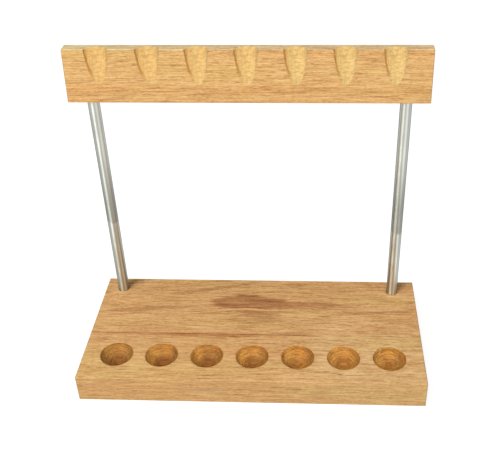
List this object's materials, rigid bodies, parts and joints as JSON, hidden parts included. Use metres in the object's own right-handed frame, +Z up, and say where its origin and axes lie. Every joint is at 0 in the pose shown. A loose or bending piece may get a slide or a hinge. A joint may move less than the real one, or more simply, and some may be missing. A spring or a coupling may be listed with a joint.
{
  "type": "test tube rack",
  "caption": "Wooden rack: a flat base with round-bottomed sockets, two upright metal rods, and a top rail with leaning notches that hold tubes at a slant.",
  "frame": {"origin": "middle of the base board's underside", "axes": "+X along the board to the right, +Y to the back, +Z up"},
  "size_m": [0.3022, 0.135, 0.276],
  "materials": {
    "base_wood": "beech, planed and sanded, clear satin seal",
    "rail_wood": "beech, planed and sanded, clear satin seal",
    "rod_metal": "drawn, satin"
  },
  "bodies": {
    "root": {"base_board": "base_wood", "top_rail": "rail_wood", "left_rod": "rod_metal", "right_rod": "rod_metal"}
  },
  "joints": []
}
